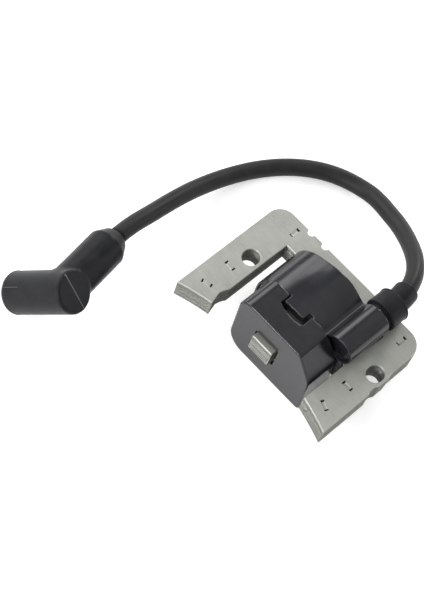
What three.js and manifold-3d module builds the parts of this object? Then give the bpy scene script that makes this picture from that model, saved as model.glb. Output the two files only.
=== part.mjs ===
// Ignition coil module for a small engine: a laminated E-core that bolts beside the flywheel, a black
// plastic body around its centre leg, a high-tension tower, and a rubber lead with a right-angle plug boot.
// Millimetres. +Z up, the body rests on Z = 0. -Y faces the flywheel, X runs across the two bolt arms.

import * as THREE from 'three';
import { mergeVertices } from 'three/addons/utils/BufferGeometryUtils.js';
import { NURBSCurve } from 'three/addons/curves/NURBSCurve.js';
import Module from 'manifold-3d';

const wasm = await Module();
wasm.setup();

// ---------------------------------------------------------------- driving dimensions

const GAP = 0.3; // clearance between pieces that touch on the real object
const CUT = 1; // how far a cutting or joining solid runs past the face it meets

const CORE = {
  sheets: 7,
  sheet: 1.375, // thickness of one lamination pair
  base: 11.75, // height of the lowest face
  halfWidth: 41.4,
  back: 29.4, // rear edge of the yoke
  slotBack: 17.05, // rear end of the two slots
  armInner: 26, // arms' inner faces
  cornerLeft: 7,
  cornerRight: 8,
};
CORE.top = CORE.base + CORE.sheets * CORE.sheet;
CORE.middle = (CORE.base + CORE.top) / 2;

const FLYWHEEL = { centreY: -142.5, radius: 120.4 }; // the three pole faces lie on this circle
const LEG = { left: -5.7, right: 4.9, tip: -22.2 };
const BOLT_SLOT = { width: 7.2, length: 7.9 };
const BOLT_LEFT = { x: -31.1, y: 1.6 };
const BOLT_RIGHT = { x: 36.6, y: 4.6 };
const EDGE_NOTCHES = { xs: [-24, -16], radius: 1.75 }; // half-round, in the yoke's rear edge
const SCALLOP = { rear: -15.2, bend: -17.2, front: -19.7, depth: 1.4 }; // in the left arm's inner face
// The right arm's outer face stands proud round the bolt slot, with a shallow notch in front of it.
const PROUD = { foot: 10, top: 7, height: 0.6 };
const FLANK_NOTCH = { rear: 1.8, rearFloor: 0, frontFloor: -2.6, front: -4.2, depth: 0.8 };

const WALL = 1.8; // moulded wall of both halves of the body
const BARREL = { x: -0.9, z: 16.5, halfWidth: 20.6, halfHeight: 16.5, corner: 15 };
const BARREL_LENGTH = { front: -4, innerRear: 15.2, rear: 18.4 };
const TAB = { left: -5.9, right: 4.3, front: -7.7, bottom: 28 }; // on the barrel's top front edge
const COVER = { front: -20.2, rear: -4.3, top: 33.7 };
const COVER_CORNERS = {
  bottomRight: { x: 22.1, z: 2, radius: 2 },
  shoulderSide: { x: 23.2, z: 22.3 }, // lower end of the slanted right shoulder
  shoulderTop: { x: 15, z: 33.7 }, // its upper end
  topLeft: { x: -11.2, z: 27.5, radius: 6.2 },
  bottomLeft: { x: -8.7, z: 8.2, radius: 8.2 },
};
const RIM_NOTCH = { left: -6.4, right: 6, leftFront: -9.3, middle: -12.2, rightFront: -10.1, bottom: 29 };
const WINDOW = { left: -6.1, right: 6, bottom: 11.35, top: 22.7 };
const RESIN = { front: -3.4, rear: -1.8 };

const TOWER = { x: 21.4, z: 29.1, radius: 6.8, front: -3.9, rear: 18.4, bore: 4.2, boreEnd: 5 };
const DISH = { radius: 5.9, depth: 1.4 }; // in the tower's front face
const WEB = { left: 13, bottom: 23 }; // fills the corner between tower and barrel
// The tower's foot, a thin pad over the right arm, and the ear that closes the slot's front end below it.
const PAD = {
  left: 18, frontRight: 26.4, rearRight: 27.7, front: -3.6, corner: 1.4, bottom: 21.7, top: 22.7,
};
const EAR = { left: 18.5, right: 25.7, rear: -1.9, bottom: 12.3 };
const COLLAR = { radius: 7.4, lip: 6.1, front: 18.7, rear: 28.5, bore: 4.1, boreEnd: 27.2 };
const SLEEVE = { radius: 5.2, length: 8.6 };
// The tower's terminal: a disc and a spike, with lengths counted from the disc's bottom.
const TERMINAL = { discRadius: 3.8, disc: 1, radius: 1.1, shoulder: 6, tip: 8 };

const LEAD = { radius: 3.7, steps: 76, sides: 10 };
// Control points of the lead's centreline, from the collar to the boot. It leaves level along +Y,
// comes down to lie on the resting surface, and rises again into the leaning boot.
const LEAD_ROUTE = [
  [21.4, 28.5, 29.1],
  [21.4, 46, 29.1],
  [-0.4, 65.4, 13.6],
  [-12.6, 68.3, 10.3],
  [-21.8, 71.2, 7.7],
  [-30.4, 71.1, 5.2],
  [-39.2, 68.9, 4],
  [-47.8, 63.8, 3.8],
  [-56, 55.7, 3.8],
  [-62.4, 46.2, 3.9],
  [-67.2, 35.4, 4.7],
  [-70.4, 23.4, 6.4],
  [-72.3, 10.5, 9.1],
  [-72.7, -2.7, 12.4],
  [-72.3, -15.2, 15.7],
  [-72.5, -25.8, 18.7],
  [-71.5, -34, 20],
];

const BOOT = {
  corner: [-64.96, -69.84, 24.86], // where the axes of its two limbs cross
  heading: THREE.MathUtils.degToRad(198.7), // compass direction of the plug limb
  slope: THREE.MathUtils.degToRad(-47.1), // the plug limb leans on its mouth
  sideHeading: THREE.MathUtils.degToRad(100.4), // compass direction of the lead limb
  radius: 8.5,
  capEnd: 7.5, // closed end, measured back from the corner
  mouth: 26, // open end, measured forward from the corner
  bore: 6,
  boreEnd: 3.4, // bottom of the socket, just past the corner
  sideRadius: 8.15,
  sideShoulder: 29.5, // where the lead limb starts to taper
  sideEnd: 36.5,
  sideBore: 4.1,
};
const CLIP = { radius: 5.6, wall: 0.6, top: 2, rim: -10 }; // heights along the plug limb
// The boot's terminal spike, with places counted along the lead limb.
const SPIKE = { discRadius: 2.4, start: 6.2, disc: 1, radius: 0.8, shoulder: 14, tip: 15.5 };

// Everything wrapped round the centre leg: clearance to the leg, tube wall, wire depth, flange, ends along Y.
const COILS = {
  primary: { margin: 0.4, wall: 1, depth: 2.6, flange: 1, corner: 2, front: -1.3, rear: 14.7 },
  secondary: { margin: 4.5, wall: 1, depth: 3.4, flange: 1, corner: 7, front: -1.3, rear: 14.7 },
  charge_coil: { margin: 0.4, wall: 1, depth: 3.4, flange: 1, corner: 2, front: -17.9, rear: -10.5 },
};
const TRIGGER = { margin: 0.8, depth: 2.2, corner: 2, front: -9.6, rear: -6.6 };

// The board stands upright beside the leg. Its parts are on its right face.
const BOARD = { face: 14.2, thickness: 1.2, front: -17.7, rear: -6.7, bottom: 3.2, top: 28.2 };
const CAPACITOR = { depth: 6.8, front: -17.2, rear: -8.4, bottom: 3, top: 12.4 };
const THYRISTOR = { depth: 3.4, front: -16.6, rear: -12.4, bottom: 14.6, top: 19.4 };
const DIODE = { radius: 1.3, front: -16, rear: -10.5, z: 22.2 };
const RESISTOR = { radius: 1.1, front: -16, rear: -10.5, z: 25.8 };
const STRAP = { front: -10.25, rear: -9.85, bottom: 15, top: 18 };

const FINISH = {
  core: { color: 0xa9aca4, roughness: 0.42, metalness: 0.85 },
  casing: { color: 0x26272a, roughness: 0.3, metalness: 0 },
  rubber: { color: 0x1f2022, roughness: 0.65, metalness: 0 },
  resin: { color: 0x2b2c2e, roughness: 0.5, metalness: 0 },
  bobbin: { color: 0xd8d2c0, roughness: 0.5, metalness: 0 },
  copper: { color: 0xa3552b, roughness: 0.35, metalness: 0.9 },
  brass: { color: 0xb08d4a, roughness: 0.3, metalness: 0.9 },
  board: { color: 0x2f5a3a, roughness: 0.6, metalness: 0 },
  component: { color: 0x7a4a26, roughness: 0.45, metalness: 0 },
};

// ---------------------------------------------------------------- helpers

function toSolid(geometry) {
  const bare = geometry.index ? geometry.toNonIndexed() : geometry.clone();
  bare.deleteAttribute('normal');
  bare.deleteAttribute('uv');
  const merged = mergeVertices(bare, 1e-4);
  return new wasm.Manifold(new wasm.Mesh({
    numProp: 3,
    vertProperties: new Float32Array(merged.attributes.position.array),
    triVerts: new Uint32Array(merged.index.array),
  }));
}

function toGeometry(solid) {
  const mesh = solid.getMesh();
  const geometry = new THREE.BufferGeometry();
  geometry.setAttribute('position', new THREE.BufferAttribute(new Float32Array(mesh.vertProperties), 3));
  geometry.setIndex(new THREE.BufferAttribute(new Uint32Array(mesh.triVerts), 1));
  geometry.computeVertexNormals();
  return geometry;
}

function block(x0, x1, y0, y1, z0, z1) {
  const geometry = new THREE.BoxGeometry(x1 - x0, y1 - y0, z1 - z0);
  return geometry.translate((x0 + x1) / 2, (y0 + y1) / 2, (z0 + z1) / 2);
}

// A shape drawn in X and Y, raised from z0 to z1.
function extrudeUp(shape, z0, z1, curveSegments = 4) {
  const geometry = new THREE.ExtrudeGeometry(shape, { depth: z1 - z0, bevelEnabled: false, curveSegments });
  return geometry.translate(0, 0, z0);
}

// A shape drawn in X and Z, carried along Y from y0 to y1.
function extrudeAlongY(shape, y0, y1, curveSegments = 4) {
  const geometry = new THREE.ExtrudeGeometry(shape, { depth: y1 - y0, bevelEnabled: false, curveSegments });
  return geometry.rotateX(Math.PI / 2).translate(0, y1, 0);
}

// A profile of [radius, distance] pairs turned about an axis parallel to Y through (x, z).
function turnAlongY(profile, x, z, sides) {
  const points = profile.map(([radius, distance]) => new THREE.Vector2(radius, distance));
  return new THREE.LatheGeometry(points, sides).translate(x, 0, z);
}

function cylinderAlongY(x, z, radius, y0, y1, sides = 20) {
  return new THREE.CylinderGeometry(radius, radius, y1 - y0, sides).translate(x, (y0 + y1) / 2, z);
}

function circleSection(radius, sides) {
  const points = [];
  for (let i = 0; i < sides; i += 1) {
    const angle = (i / sides) * 2 * Math.PI;
    points.push(new THREE.Vector2(radius * Math.cos(angle), radius * Math.sin(angle)));
  }
  return new THREE.Shape(points);
}

// Rectangle with rounded corners, centred on (x, y).
function roundedRectangle(x, y, halfWidth, halfHeight, corner) {
  const shape = new THREE.Shape();
  const right = x + halfWidth - corner;
  const left = x - halfWidth + corner;
  const top = y + halfHeight - corner;
  const bottom = y - halfHeight + corner;
  shape.absarc(right, top, corner, 0, Math.PI / 2, false);
  shape.absarc(left, top, corner, Math.PI / 2, Math.PI, false);
  shape.absarc(left, bottom, corner, Math.PI, 1.5 * Math.PI, false);
  shape.absarc(right, bottom, corner, 1.5 * Math.PI, 2 * Math.PI, false);
  return shape;
}

function addMesh(group, name, geometry, finish) {
  const mesh = new THREE.Mesh(geometry, new THREE.MeshStandardMaterial(FINISH[finish]));
  mesh.name = name;
  group.add(mesh);
  return mesh;
}

// ---------------------------------------------------------------- laminated core

function flywheelY(x) {
  return FLYWHEEL.centreY + Math.sqrt(FLYWHEEL.radius ** 2 - x ** 2);
}

function boltSlot({ x, y }) {
  const radius = BOLT_SLOT.width / 2;
  const straight = (BOLT_SLOT.length - BOLT_SLOT.width) / 2;
  const hole = new THREE.Path();
  hole.absarc(x, y + straight, radius, 0, Math.PI, false);
  hole.absarc(x, y - straight, radius, Math.PI, 2 * Math.PI, false);
  return hole;
}

function leftArmOutline(shape) {
  const floor = -CORE.armInner - SCALLOP.depth;
  const corner = CORE.cornerLeft;
  shape.lineTo(-CORE.armInner, CORE.slotBack);
  shape.lineTo(-CORE.armInner, SCALLOP.rear);
  shape.quadraticCurveTo(floor + 0.2, SCALLOP.bend, floor, SCALLOP.front);
  shape.lineTo(-CORE.armInner, flywheelY(CORE.armInner));
  shape.lineTo(-CORE.halfWidth, flywheelY(CORE.halfWidth));
  shape.lineTo(-CORE.halfWidth, CORE.back - corner);
  shape.absarc(-CORE.halfWidth + corner, CORE.back - corner, corner, Math.PI, Math.PI / 2, true);
}

function rightArmOutline(shape) {
  const corner = CORE.cornerRight;
  const slim = CORE.halfWidth - PROUD.height;
  const notch = CORE.halfWidth - FLANK_NOTCH.depth;
  shape.absarc(slim - corner, CORE.back - corner, corner, Math.PI / 2, 0, true);
  shape.lineTo(slim, PROUD.foot);
  shape.lineTo(CORE.halfWidth, PROUD.top);
  shape.lineTo(CORE.halfWidth, FLANK_NOTCH.rear);
  shape.lineTo(notch, FLANK_NOTCH.rearFloor);
  shape.lineTo(notch, FLANK_NOTCH.frontFloor);
  shape.lineTo(CORE.halfWidth, FLANK_NOTCH.front);
  shape.lineTo(CORE.halfWidth, flywheelY(CORE.halfWidth));
  shape.lineTo(CORE.armInner, flywheelY(CORE.armInner));
  shape.lineTo(CORE.armInner, CORE.slotBack);
}

function laminationShape() {
  const shape = new THREE.Shape();
  shape.moveTo(LEG.right, CORE.slotBack);
  shape.lineTo(LEG.right, LEG.tip);
  shape.lineTo(LEG.left, LEG.tip);
  shape.lineTo(LEG.left, CORE.slotBack);
  leftArmOutline(shape);
  for (const x of EDGE_NOTCHES.xs) {
    shape.absarc(x, CORE.back, EDGE_NOTCHES.radius, Math.PI, 2 * Math.PI, false);
  }
  rightArmOutline(shape);
  shape.closePath();
  shape.holes.push(boltSlot(BOLT_LEFT), boltSlot(BOLT_RIGHT));
  return shape;
}

function buildCore(group) {
  const shape = laminationShape();
  for (let i = 0; i < CORE.sheets; i += 1) {
    const bottom = CORE.base + i * CORE.sheet;
    const sheet = extrudeUp(shape, bottom, bottom + CORE.sheet, 3);
    addMesh(group, `lamination_${i + 1}`, sheet, 'core');
  }
}

// ---------------------------------------------------------------- plastic body

function barrelShape(inset) {
  return roundedRectangle(
    BARREL.x, BARREL.z, BARREL.halfWidth - inset, BARREL.halfHeight - inset, BARREL.corner - inset,
  );
}

// Rear half of the body: a barrel over the windings, with the high-tension tower on its right shoulder.
// Outline of the pad under the tower, seen from above, with its front right corner cut off.
function padShape() {
  const { left, frontRight, rearRight, front, corner } = PAD;
  const shape = new THREE.Shape();
  shape.moveTo(left, front);
  shape.lineTo(frontRight - corner, front);
  shape.lineTo(frontRight, front + corner);
  shape.lineTo(rearRight, TOWER.rear);
  shape.lineTo(left, TOWER.rear);
  shape.closePath();
  return shape;
}

function rearShell() {
  const { front, innerRear, rear } = BARREL_LENGTH;
  const under = CORE.base - GAP;
  const over = CORE.top + GAP;
  const legHole = block(LEG.left - GAP, LEG.right + GAP, innerRear - CUT, CORE.slotBack, under, over);
  const yokeSlot = block(-CORE.armInner, CORE.armInner, CORE.slotBack - GAP, rear + CUT, under, over);
  const tabBlock = block(TAB.left, TAB.right, TAB.front, front + CUT, TAB.bottom, COVER.top + CUT);
  const tab = toSolid(extrudeAlongY(barrelShape(0), TAB.front, front + CUT)).intersect(toSolid(tabBlock));
  const web = block(WEB.left, TOWER.x, TOWER.front, TOWER.rear, WEB.bottom, TOWER.z + CUT);
  const pad = extrudeUp(padShape(), PAD.bottom, PAD.top);
  const ear = block(EAR.left, EAR.right, front, EAR.rear, EAR.bottom, PAD.top);
  const post = cylinderAlongY(TOWER.x, TOWER.z, TOWER.radius, TOWER.front, TOWER.rear, 28);
  const bore = cylinderAlongY(TOWER.x, TOWER.z, TOWER.bore, TOWER.boreEnd, TOWER.rear + CUT);
  const dish = cylinderAlongY(TOWER.x, TOWER.z, DISH.radius, TOWER.front - CUT, TOWER.front + DISH.depth, 28);
  const hollow = extrudeAlongY(barrelShape(WALL), TAB.front - CUT, innerRear);
  return toSolid(extrudeAlongY(barrelShape(0), front, rear))
    .add(tab)
    .add(toSolid(post))
    .add(toSolid(web))
    .add(toSolid(pad))
    .add(toSolid(ear))
    .subtract(toSolid(hollow))
    .subtract(toSolid(yokeSlot))
    .subtract(toSolid(legHole))
    .subtract(toSolid(bore))
    .subtract(toSolid(dish));
}

// Section of the front cover in X and Z, drawn inward by inset. Its right shoulder is one slanted flat.
function coverShape(inset) {
  const { bottomRight, shoulderSide, shoulderTop, topLeft, bottomLeft } = COVER_CORNERS;
  const slant = Math.atan2(shoulderTop.z - shoulderSide.z, shoulderSide.x - shoulderTop.x);
  const topShift = inset * Math.tan(slant / 2);
  const sideDrop = inset * Math.tan((Math.PI / 2 - slant) / 2);
  const shape = new THREE.Shape();
  shape.moveTo(bottomLeft.x, inset);
  addCorner(shape, bottomRight, inset, 1.5 * Math.PI);
  shape.lineTo(shoulderSide.x - inset, shoulderSide.z - sideDrop);
  shape.lineTo(shoulderTop.x - topShift, shoulderTop.z - inset);
  addCorner(shape, topLeft, inset, Math.PI / 2);
  addCorner(shape, bottomLeft, inset, Math.PI);
  return shape;
}

// A quarter turn of the section, from the given angle on.
function addCorner(shape, { x, z, radius }, inset, from) {
  shape.absarc(x, z, radius - inset, from, from + Math.PI / 2, false);
}

// The cover's rear rim steps forward round the barrel's tab, with a curved front edge.
function rimNotchShape() {
  const { left, right, leftFront, middle, rightFront } = RIM_NOTCH;
  const shape = new THREE.Shape();
  shape.moveTo(left, COVER.rear + CUT);
  shape.lineTo(left, leftFront);
  shape.quadraticCurveTo(0, middle, right, rightFront);
  shape.lineTo(right, COVER.rear + CUT);
  shape.closePath();
  return shape;
}

function frontCover() {
  const { front, rear, top } = COVER;
  const innerRear = rear - WALL;
  const outer = extrudeAlongY(coverShape(0), front, rear);
  const inner = extrudeAlongY(coverShape(WALL), front + WALL, innerRear);
  const throat = toSolid(extrudeAlongY(coverShape(WALL), innerRear - CUT, rear + CUT))
    .intersect(toSolid(extrudeAlongY(barrelShape(WALL), innerRear - CUT, rear + CUT)));
  const window = block(WINDOW.left, WINDOW.right, front - CUT, front + WALL + CUT, WINDOW.bottom, WINDOW.top);
  return toSolid(outer)
    .subtract(toSolid(inner))
    .subtract(throat)
    .subtract(toSolid(window))
    .subtract(toSolid(extrudeUp(rimNotchShape(), RIM_NOTCH.bottom, top + CUT)));
}

// Plate of casting resin just inside the barrel's front edge, round the centre leg.
function resinPlate() {
  const plate = extrudeAlongY(barrelShape(WALL + GAP), RESIN.front, RESIN.rear);
  const legHole = block(
    LEG.left - GAP, LEG.right + GAP, RESIN.front - CUT, RESIN.rear + CUT, CORE.base - GAP, CORE.top + GAP,
  );
  return toSolid(plate).subtract(toSolid(legHole));
}

function buildBody(group) {
  addMesh(group, 'rear_shell', toGeometry(rearShell()), 'casing');
  addMesh(group, 'front_cover', toGeometry(frontCover()), 'casing');
  addMesh(group, 'casting_resin', toGeometry(resinPlate()), 'resin');
}

// ---------------------------------------------------------------- coils on the centre leg

// Section of something wrapped round the leg, margin away from it all round.
function legShape(margin, corner) {
  const halfWidth = (LEG.right - LEG.left) / 2 + margin;
  const halfHeight = (CORE.top - CORE.base) / 2 + margin;
  return roundedRectangle((LEG.left + LEG.right) / 2, CORE.middle, halfWidth, halfHeight, corner);
}

// Tube round the leg, from margin to margin + depth away from it.
function legTube(margin, depth, corner, front, rear) {
  const innerCorner = 0.4;
  const outer = toSolid(extrudeAlongY(legShape(margin + depth, corner), front, rear, 2));
  return outer.subtract(toSolid(extrudeAlongY(legShape(margin, innerCorner), front - CUT, rear + CUT, 1)));
}

function bobbin({ margin, wall, depth, flange, corner, front, rear }) {
  const frontFlange = legTube(margin, wall + depth, corner, front, front + flange);
  const rearFlange = legTube(margin, wall + depth, corner, rear - flange, rear);
  return legTube(margin, wall, 1, front, rear).add(frontFlange).add(rearFlange);
}

function winding({ margin, wall, depth, flange, corner, front, rear }) {
  return legTube(margin + wall + GAP, depth - 2 * GAP, corner, front + flange + GAP, rear - flange - GAP);
}

function buildCoils(group) {
  for (const [name, coil] of Object.entries(COILS)) {
    addMesh(group, `${name}_bobbin`, toGeometry(bobbin(coil)), 'bobbin');
    addMesh(group, `${name}_winding`, toGeometry(winding(coil)), 'copper');
  }
  const { margin, depth, corner, front, rear } = TRIGGER;
  addMesh(group, 'trigger_coil', toGeometry(legTube(margin, depth, corner, front, rear)), 'copper');
}

// ---------------------------------------------------------------- discharge circuit

// A block that stands on the board's right face.
function onBoard({ depth, front, rear, bottom, top }) {
  return block(BOARD.face, BOARD.face + depth, front, rear, bottom, top);
}

// A round component lying along Y on the board, held off it by a small gap.
function lyingOnBoard({ radius, front, rear, z }) {
  return cylinderAlongY(BOARD.face + GAP + radius, z, radius, front, rear, 12);
}

function buildCircuit(group) {
  const boardBack = BOARD.face - BOARD.thickness;
  const board = block(boardBack, BOARD.face, BOARD.front, BOARD.rear, BOARD.bottom, BOARD.top);
  const strap = block(LEG.right, boardBack, STRAP.front, STRAP.rear, STRAP.bottom, STRAP.top);
  addMesh(group, 'circuit_board', board, 'board');
  addMesh(group, 'capacitor', onBoard(CAPACITOR), 'component');
  addMesh(group, 'thyristor', onBoard(THYRISTOR), 'component');
  addMesh(group, 'diode', lyingOnBoard(DIODE), 'component');
  addMesh(group, 'resistor', lyingOnBoard(RESISTOR), 'component');
  addMesh(group, 'ground_strap', strap, 'brass');
}

// ---------------------------------------------------------------- lead

// Clamped cubic spline through the route's control points.
function leadCentreline() {
  const degree = 3;
  const spans = LEAD_ROUTE.length - degree;
  const knots = [];
  for (let i = -degree; i <= spans + degree; i += 1) {
    knots.push(Math.min(Math.max(i / spans, 0), 1));
  }
  return new NURBSCurve(degree, knots, LEAD_ROUTE.map(([x, y, z]) => new THREE.Vector4(x, y, z, 1)));
}

// The stretch of a curve between two distances from its start.
class Stretch extends THREE.Curve {
  constructor(curve, from, to) {
    super();
    this.curve = curve;
    this.from = from / curve.getLength();
    this.to = to / curve.getLength();
  }

  getPoint(t, target = new THREE.Vector3()) {
    return this.curve.getPointAt(THREE.MathUtils.lerp(this.from, this.to, t), target);
  }
}

function tube(path, radius, steps, sides) {
  const section = circleSection(radius, sides);
  return new THREE.ExtrudeGeometry(section, { steps, bevelEnabled: false, extrudePath: path });
}

// Rubber collar on the tower, with the sleeve that grips the lead.
function grommet(centreline) {
  const { radius, lip, front, rear, bore, boreEnd } = COLLAR;
  const collar = turnAlongY([
    [0, boreEnd],
    [bore, boreEnd],
    [bore, front],
    [lip, front],
    [lip, front + 0.9],
    [radius - 0.3, front + 1],
    [radius, front + 1.6],
    [radius - 0.25, rear - 0.7],
    [radius - 0.9, rear],
    [0, rear],
  ], TOWER.x, TOWER.z, 24);
  const root = cylinderAlongY(TOWER.x, TOWER.z, SLEEVE.radius, rear - 0.5, rear + 0.2, 16);
  const sleeve = tube(new Stretch(centreline, 0, SLEEVE.length), SLEEVE.radius, 5, 16);
  return toSolid(collar).add(toSolid(root)).add(toSolid(sleeve));
}

// Brass spike at the bottom of the tower, that the lead's core is pushed on.
function terminalSpike() {
  const { discRadius, disc, radius, shoulder, tip } = TERMINAL;
  const bottom = TOWER.boreEnd + GAP;
  return turnAlongY([
    [0, bottom],
    [discRadius, bottom],
    [discRadius, bottom + disc],
    [radius, bottom + disc],
    [radius, bottom + shoulder],
    [0, bottom + tip],
  ], TOWER.x, TOWER.z, 12);
}

// The lead's end inside the tower, hollow where the spike has gone up its core.
function leadInTower() {
  const start = TOWER.boreEnd + TERMINAL.disc + 2 * GAP;
  const hollow = TERMINAL.radius + GAP;
  return turnAlongY([
    [hollow, start],
    [LEAD.radius, start],
    [LEAD.radius, COLLAR.boreEnd - GAP],
    [0, COLLAR.boreEnd - GAP],
    [0, start + TERMINAL.tip],
    [hollow, start + TERMINAL.shoulder],
    [hollow, start],
  ], TOWER.x, TOWER.z, 14);
}

function buildLead(group) {
  const centreline = leadCentreline();
  const free = new Stretch(centreline, SLEEVE.length + GAP, centreline.getLength());
  addMesh(group, 'lead_grommet', toGeometry(grommet(centreline)), 'rubber');
  addMesh(group, 'tower_terminal', terminalSpike(), 'brass');
  addMesh(group, 'lead_tower_end', leadInTower(), 'rubber');
  addMesh(group, 'ht_lead', tube(free, LEAD.radius, LEAD.steps, LEAD.sides), 'rubber');
}

// ---------------------------------------------------------------- plug boot

// The boot's pieces are drawn with the plug limb along -Z, its mouth down, and the lead limb along +X.
function bootFrame() {
  const { heading, slope, sideHeading } = BOOT;
  const plug = new THREE.Vector3(
    Math.cos(slope) * Math.cos(heading), Math.cos(slope) * Math.sin(heading), Math.sin(slope),
  );
  const side = new THREE.Vector3(Math.cos(sideHeading), Math.sin(sideHeading), 0);
  side.z = -(side.x * plug.x + side.y * plug.y) / plug.z; // square to the plug limb
  side.normalize();
  const up = plug.clone().negate();
  const across = new THREE.Vector3().crossVectors(up, side);
  const group = new THREE.Group();
  group.quaternion.setFromRotationMatrix(new THREE.Matrix4().makeBasis(side, across, up));
  group.position.set(...BOOT.corner);
  return group;
}

// A profile of [radius, distance] pairs turned about the lead limb's axis.
function turnAlongX(profile, sides) {
  return turnAlongY(profile, 0, 0, sides).rotateZ(-Math.PI / 2);
}

// A profile of [radius, height] pairs turned about the plug limb's axis.
function turnUp(profile, sides) {
  return turnAlongY(profile, 0, 0, sides).rotateX(Math.PI / 2);
}

function plugBoot() {
  const { radius, mouth, capEnd, bore, boreEnd, sideRadius, sideShoulder, sideEnd, sideBore } = BOOT;
  const plugLimb = turnUp([
    [0, -mouth],
    [radius - 0.8, -mouth],
    [radius, -mouth + 1],
    [radius, capEnd - 1.6],
    [radius - 0.5, capEnd - 0.5],
    [radius - 1.2, capEnd],
    [0, capEnd],
  ], 28);
  const leadLimb = turnAlongX([
    [0, 0],
    [sideRadius, 0],
    [sideRadius, sideShoulder],
    [sideRadius - 1.8, sideEnd - 3],
    [sideRadius - 2.6, sideEnd],
    [0, sideEnd],
  ], 28);
  const plugBore = turnUp([[0, -mouth - CUT], [bore, -mouth - CUT], [bore, boreEnd], [0, boreEnd]], 20);
  const leadBore = turnAlongX([[0, 0], [sideBore, 0], [sideBore, sideEnd + CUT], [0, sideEnd + CUT]], 16);
  return toSolid(plugLimb)
    .add(toSolid(leadLimb))
    .subtract(toSolid(plugBore))
    .subtract(toSolid(leadBore));
}

// Spring cup that snaps over the plug's terminal nut.
function plugClip() {
  const { radius, wall, top, rim } = CLIP;
  return turnUp([
    [0, top - wall],
    [radius - wall, top - wall],
    [radius - wall, rim + 1],
    [radius - wall - 0.4, rim],
    [radius - wall + 0.1, rim],
    [radius, rim + 1],
    [radius, top - 0.4],
    [radius - 0.4, top],
    [0, top],
  ], 18);
}

// Brass spike that the lead's core is pushed on, its disc against the side of the socket.
function plugSpike() {
  const { discRadius, start, disc, radius, shoulder, tip } = SPIKE;
  return turnAlongX([
    [0, start],
    [discRadius, start],
    [discRadius, start + disc],
    [radius, start + disc],
    [radius, shoulder],
    [0, tip],
  ], 12);
}

// The lead's end inside the boot, hollow where the spike has gone up its core.
function leadInBoot() {
  const start = SPIKE.start + SPIKE.disc + GAP;
  const hollow = SPIKE.radius + GAP;
  return turnAlongX([
    [hollow, start],
    [LEAD.radius, start],
    [LEAD.radius, BOOT.sideEnd],
    [0, BOOT.sideEnd],
    [0, SPIKE.tip + 1],
    [hollow, SPIKE.shoulder + 0.5],
    [hollow, start],
  ], 14);
}

function buildBoot(group) {
  const frame = bootFrame();
  addMesh(frame, 'plug_boot', toGeometry(plugBoot()), 'rubber');
  addMesh(frame, 'plug_clip', plugClip(), 'brass');
  addMesh(frame, 'plug_spike', plugSpike(), 'brass');
  addMesh(frame, 'lead_boot_end', leadInBoot(), 'rubber');
  group.add(frame);
}

// ---------------------------------------------------------------- assembly

const ignitionCoil = new THREE.Group();
buildCore(ignitionCoil);
buildBody(ignitionCoil);
buildCoils(ignitionCoil);
buildCircuit(ignitionCoil);
buildLead(ignitionCoil);
buildBoot(ignitionCoil);

export default ignitionCoil;
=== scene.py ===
import math

import bpy
import numpy as np
from mathutils import Matrix, Quaternion, Vector
from mathutils.geometry import tessellate_polygon


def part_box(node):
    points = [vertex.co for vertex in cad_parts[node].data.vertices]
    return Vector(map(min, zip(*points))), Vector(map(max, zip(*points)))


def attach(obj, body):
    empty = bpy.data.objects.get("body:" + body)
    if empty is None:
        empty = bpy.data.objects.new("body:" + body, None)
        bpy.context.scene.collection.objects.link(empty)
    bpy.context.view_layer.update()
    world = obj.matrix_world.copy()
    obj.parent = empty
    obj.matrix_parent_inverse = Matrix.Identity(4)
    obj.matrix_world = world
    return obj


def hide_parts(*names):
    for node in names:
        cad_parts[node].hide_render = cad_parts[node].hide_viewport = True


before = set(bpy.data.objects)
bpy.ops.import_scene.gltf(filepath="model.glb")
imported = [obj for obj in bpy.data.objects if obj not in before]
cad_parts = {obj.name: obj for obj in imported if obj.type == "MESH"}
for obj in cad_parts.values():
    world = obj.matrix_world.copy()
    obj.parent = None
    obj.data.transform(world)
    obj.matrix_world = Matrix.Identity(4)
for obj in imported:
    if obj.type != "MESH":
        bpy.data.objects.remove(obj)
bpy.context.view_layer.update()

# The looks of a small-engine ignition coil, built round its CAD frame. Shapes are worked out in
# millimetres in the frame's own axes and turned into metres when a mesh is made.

MM = 0.001
RNG = np.random.default_rng(7)

MODULE, BOOT_BODY = "module", "boot"


def node_box(node):
    """Lowest and highest corner of a CAD node, in millimetres."""
    low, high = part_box(node)
    return np.array(low) / MM, np.array(high) / MM


CORE_LOW, CORE_HIGH = node_box("lamination_1")[0], node_box("lamination_7")[1]
SHELL_LOW, SHELL_HIGH = node_box("rear_shell")
COVER_LOW, COVER_HIGH = node_box("front_cover")

# ---------------------------------------------------------------- dimensions, in millimetres

LAP = 2  # how far joined solids run into each other
CUT_PAST = 1  # how far a cut through a wall runs past it
SHARP = 0.01  # radius where two solids meet without a fillet

SHEETS = 14  # laminations in the stack
SHEET_GAP = 0.03
SHEET_EDGE = 0.07  # bevel along a sheet's edges
TOP_EDGE = 0.24  # the top sheet's edge is rubbed rounder
SHEET_SHIFT = 0.035  # how far a sheet may sit out of line

HALF_WIDTH = CORE_HIGH[0]
YOKE_REAR = CORE_HIGH[1]
SLOT_REAR = 17.05
ARM_INNER = 26.0
REAR_CORNERS = {"left": 7.0, "right": 8.0}
LEG = {"left": -5.7, "right": 4.9, "tip": -22.2}
FLYWHEEL = {"y": -142.5, "radius": 120.4}
# The left arm's inner side curves away toward its tip.
SCALLOP = {"rear": -15.2, "bend": -17.2, "bend_in": 0.2, "front": -19.7, "depth": 1.4}
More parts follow.
